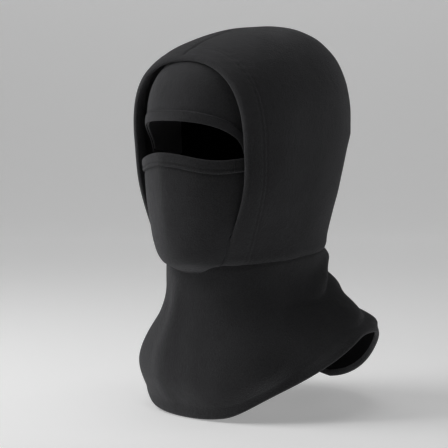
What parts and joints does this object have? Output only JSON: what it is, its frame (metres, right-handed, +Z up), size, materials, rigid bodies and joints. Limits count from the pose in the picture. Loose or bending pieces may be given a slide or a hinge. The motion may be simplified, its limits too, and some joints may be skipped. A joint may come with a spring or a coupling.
{
  "type": "balaclava",
  "caption": "Hooded fleece balaclava with a deep hood, an arched eye opening, a mask whose top edge pulls down and a flared neck drape",
  "frame": {"origin": "the middle of the wearer's head, level with the eyes and with the ears", "axes": "+Z up, the wearer faces -Y, the wearer's left is +X; X = 0 is the plane of symmetry"},
  "size_m": [0.267, 0.2613, 0.3967],
  "materials": {
    "fleece": "matte black brushed fleece with a fine short nap",
    "lining": "matte black thin inner fleece",
    "thread": "black polyester sewing thread, slightly glossier than the fleece",
    "elastic": "black woven elastic tape"
  },
  "bodies": {
    "head": {"hood_panel_left": "fleece", "hood_panel_right": "fleece", "hood_crown_seam": "lining", "hood_face_hem": "fleece", "hood_stitch_front": "thread", "hood_stitch_rear": "thread", "inner_cap_left": "lining", "inner_cap_right": "lining", "inner_cap_seam": "lining", "forehead_panel": "fleece", "forehead_hem": "fleece", "forehead_stitch": "thread", "cheek_panel_left": "lining", "cheek_panel_right": "lining", "neck_seam": "thread", "mask_panel": "fleece"},
    "mask_edge": {"mask_hem": "fleece", "mask_elastic": "elastic", "mask_stitch_upper": "thread", "mask_stitch_lower": "thread"},
    "drape": {"drape_outer": "fleece", "drape_lining": "lining", "drape_hem": "fleece"}
  },
  "joints": [
    {"name": "mask_pull_down", "type": "slide", "parent": "head", "child": "mask_edge", "axis": [0, 0, -1], "range_m": [0, 0.04], "deforming": ["mask_panel"]},
    {"name": "drape_turn", "type": "hinge", "parent": "head", "child": "drape", "pos_m": [0, 0, -0.124], "axis": [0, -0.0867, 0.9962], "range_deg": [-30, 30]}
  ]
}
